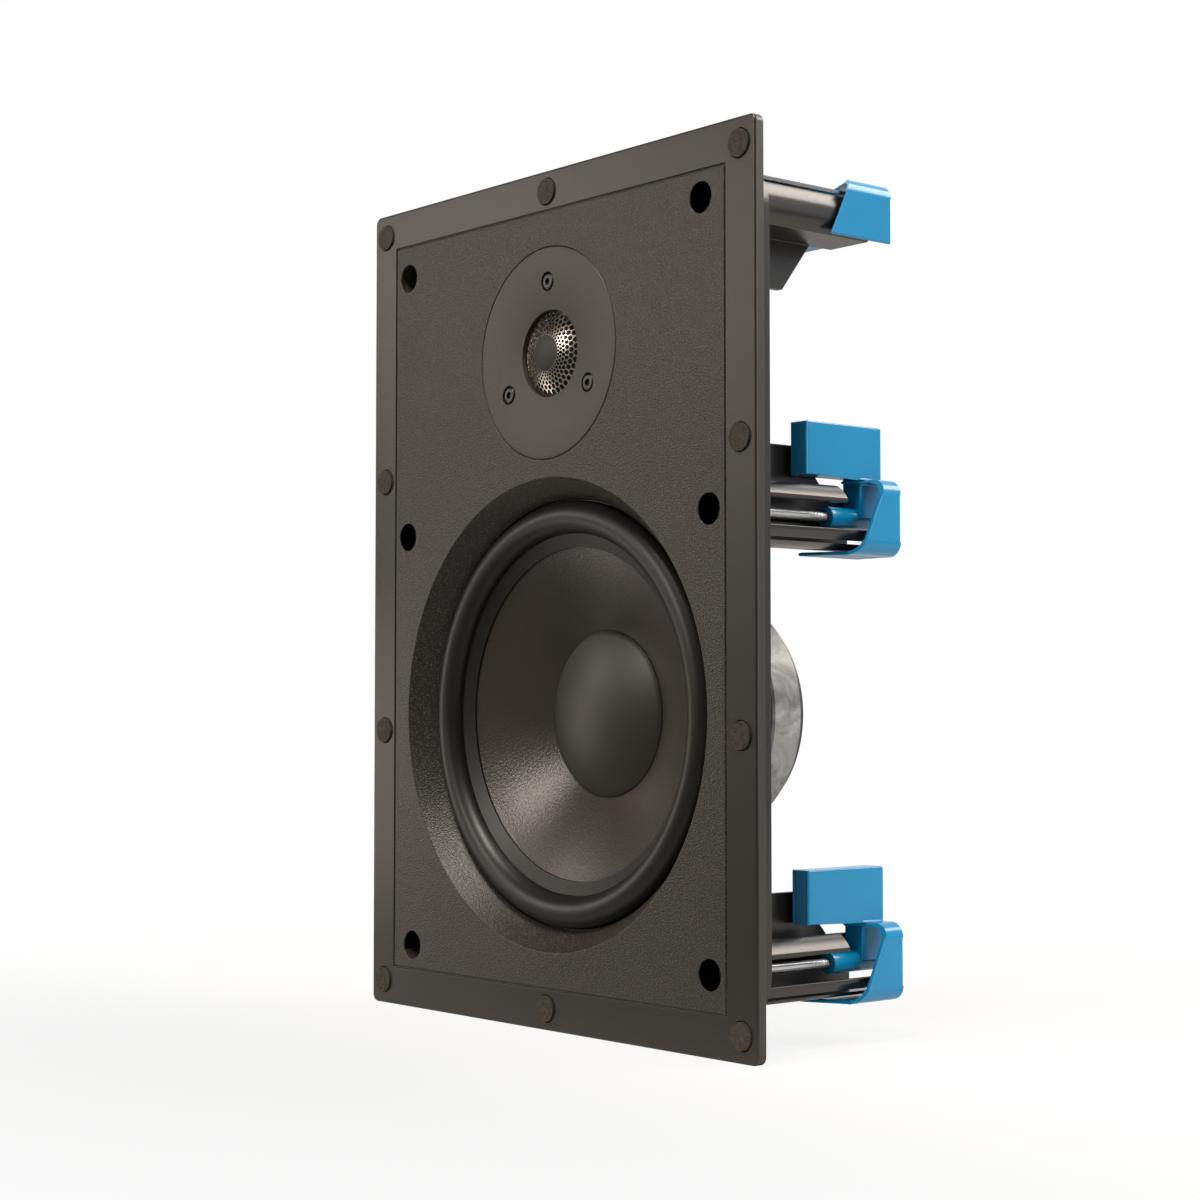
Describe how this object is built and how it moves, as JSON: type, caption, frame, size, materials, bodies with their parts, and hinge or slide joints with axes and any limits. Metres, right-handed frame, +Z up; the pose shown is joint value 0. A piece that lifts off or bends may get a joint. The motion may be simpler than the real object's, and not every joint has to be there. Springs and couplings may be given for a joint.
{
  "type": "in wall speaker",
  "caption": "Rectangular in-wall speaker frame with a cone woofer, a dome tweeter behind a domed mesh, and swing-out clamp dogs on screws.",
  "frame": {"origin": "centre of the flange's back plane, which meets the wall board", "axes": "+Z up along the panel's long side, +Y into the wall, -Y towards the listener, +X to the right as seen from the front"},
  "size_m": [0.225, 0.0952, 0.32],
  "materials": {
    "frame_abs": "spark-eroded grain on black ABS, satin on the rim",
    "pad_felt": "pressed felt discs",
    "dog_blue": "glossy moulded blue nylon",
    "screw_steel": "zinc-plated steel",
    "gasket_foam": "closed-cell foam",
    "basket_steel": "black powder coat",
    "surround_rubber": "butyl rubber with a soft sheen",
    "cone_polypropylene": "satin injection-moulded polypropylene",
    "dust_cap_polypropylene": "smooth satin polypropylene",
    "coil_copper": "enamelled copper wire",
    "spider_cloth": "phenolic-dipped cotton",
    "motor_steel": "black passivated steel",
    "ferrite": "ground grey ferrite",
    "phenolic": "phenolic strip with tinned tags",
    "faceplate_abs": "fine-grained black ABS",
    "grille_steel": "black-coated perforated steel",
    "dome_silk": "coated silk",
    "screw_black": "blackened steel",
    "board_green": "solder mask on glass laminate",
    "capacitor_sleeve": "wrapped film capacitor",
    "resistor_ceramic": "sand-cast ceramic",
    "terminal_black": "moulded black plastic",
    "lever_red": "moulded red plastic",
    "lever_black": "moulded black plastic"
  },
  "bodies": {
    "chassis": {"frame": "frame_abs", "grille_pad_1": "pad_felt", "grille_pad_2": "pad_felt", "grille_pad_3": "pad_felt", "grille_pad_4": "pad_felt", "grille_pad_5": "pad_felt", "grille_pad_6": "pad_felt", "grille_pad_7": "pad_felt", "grille_pad_8": "pad_felt", "grille_pad_9": "pad_felt", "grille_pad_10": "pad_felt", "woofer_gasket": "gasket_foam", "woofer_basket": "basket_steel", "surround": "surround_rubber", "spider": "spider_cloth", "woofer_top_plate": "motor_steel", "woofer_magnet": "ferrite", "woofer_yoke": "motor_steel", "woofer_tag_strip": "phenolic", "woofer_screw_1": "screw_steel", "woofer_screw_2": "screw_steel", "woofer_screw_3": "screw_steel", "woofer_screw_4": "screw_steel", "woofer_screw_5": "screw_steel", "woofer_screw_6": "screw_steel", "tweeter_faceplate": "faceplate_abs", "tweeter_grille": "grille_steel", "tweeter_suspension": "dome_silk", "tweeter_top_plate": "motor_steel", "tweeter_magnet": "ferrite", "tweeter_yoke": "motor_steel", "tweeter_screw_1": "screw_black", "tweeter_screw_2": "screw_black", "tweeter_screw_3": "screw_black", "crossover_board": "board_green", "board_screws": "screw_steel", "inductor": "coil_copper", "capacitor": "capacitor_sleeve", "resistor": "resistor_ceramic", "terminal_block": "terminal_black"},
    "woofer_moving": {"cone": "cone_polypropylene", "dust_cap": "dust_cap_polypropylene", "voice_coil": "coil_copper"},
    "tweeter_moving": {"tweeter_dome": "dome_silk", "tweeter_coil": "coil_copper"},
    "lever_red": {"terminal_lever_red": "lever_red"},
    "lever_black": {"terminal_lever_black": "lever_black"},
    "screw_top_right": {"clamp_screw_top_right": "screw_steel"},
    "dog_top_right": {"clamp_dog_top_right": "dog_blue"},
    "screw_middle_right": {"clamp_screw_middle_right": "screw_steel"},
    "dog_middle_right": {"clamp_dog_middle_right": "dog_blue"},
    "screw_bottom_right": {"clamp_screw_bottom_right": "screw_steel"},
    "dog_bottom_right": {"clamp_dog_bottom_right": "dog_blue"},
    "screw_bottom_left": {"clamp_screw_bottom_left": "screw_steel"},
    "dog_bottom_left": {"clamp_dog_bottom_left": "dog_blue"},
    "screw_middle_left": {"clamp_screw_middle_left": "screw_steel"},
    "dog_middle_left": {"clamp_dog_middle_left": "dog_blue"},
    "screw_top_left": {"clamp_screw_top_left": "screw_steel"},
    "dog_top_left": {"clamp_dog_top_left": "dog_blue"}
  },
  "joints": [
    {"name": "woofer_stroke", "type": "slide", "parent": "chassis", "child": "woofer_moving", "axis": [0, -1, 0], "range_m": [-0.004, 0.004], "stiffness_N_per_m": 1200, "deforming": ["surround", "spider"]},
    {"name": "tweeter_stroke", "type": "slide", "parent": "chassis", "child": "tweeter_moving", "axis": [0, -1, 0], "range_m": [-0.0003, 0.0003], "stiffness_N_per_m": 1500, "deforming": ["tweeter_suspension"]},
    {"name": "lever_red_lift", "type": "hinge", "parent": "chassis", "child": "lever_red", "pos_m": [-0.0635, 0.0231, 0.0677], "axis": [1, 0, 0], "range_deg": [0, 60], "stiffness_Nm_per_rad": 0.02},
    {"name": "lever_black_lift", "type": "hinge", "parent": "chassis", "child": "lever_black", "pos_m": [-0.0505, 0.0231, 0.0677], "axis": [1, 0, 0], "range_deg": [0, 60], "stiffness_Nm_per_rad": 0.02},
    {"name": "dog_swing_top_right", "type": "hinge", "parent": "chassis", "child": "screw_top_right", "pos_m": [0.085, 0, 0.1354], "axis": [0, 1, 0], "range_deg": [0, 90]},
    {"name": "dog_travel_top_right", "type": "slide", "parent": "screw_top_right", "child": "dog_top_right", "axis": [0, -1, 0], "range_m": [0, 0.028]},
    {"name": "dog_swing_middle_right", "type": "hinge", "parent": "chassis", "child": "screw_middle_right", "pos_m": [0.0889, 0, 0.0271], "axis": [0, 1, 0], "range_deg": [0, 90]},
    {"name": "dog_travel_middle_right", "type": "slide", "parent": "screw_middle_right", "child": "dog_middle_right", "axis": [0, -1, 0], "range_m": [0, 0.028]},
    {"name": "dog_swing_bottom_right", "type": "hinge", "parent": "chassis", "child": "screw_bottom_right", "pos_m": [0.0889, 0, -0.1318], "axis": [0, 1, 0], "range_deg": [0, 90]},
    {"name": "dog_travel_bottom_right", "type": "slide", "parent": "screw_bottom_right", "child": "dog_bottom_right", "axis": [0, -1, 0], "range_m": [0, 0.028]},
    {"name": "dog_swing_bottom_left", "type": "hinge", "parent": "chassis", "child": "screw_bottom_left", "pos_m": [-0.085, 0, -0.1354], "axis": [0, 1, 0], "range_deg": [0, 90]},
    {"name": "dog_travel_bottom_left", "type": "slide", "parent": "screw_bottom_left", "child": "dog_bottom_left", "axis": [0, -1, 0], "range_m": [0, 0.028]},
    {"name": "dog_swing_middle_left", "type": "hinge", "parent": "chassis", "child": "screw_middle_left", "pos_m": [-0.0889, 0, 0.0271], "axis": [0, 1, 0], "range_deg": [0, 90]},
    {"name": "dog_travel_middle_left", "type": "slide", "parent": "screw_middle_left", "child": "dog_middle_left", "axis": [0, -1, 0], "range_m": [0, 0.028]},
    {"name": "dog_swing_top_left", "type": "hinge", "parent": "chassis", "child": "screw_top_left", "pos_m": [-0.0889, 0, 0.1318], "axis": [0, 1, 0], "range_deg": [0, 90]},
    {"name": "dog_travel_top_left", "type": "slide", "parent": "screw_top_left", "child": "dog_top_left", "axis": [0, -1, 0], "range_m": [0, 0.028]}
  ]
}
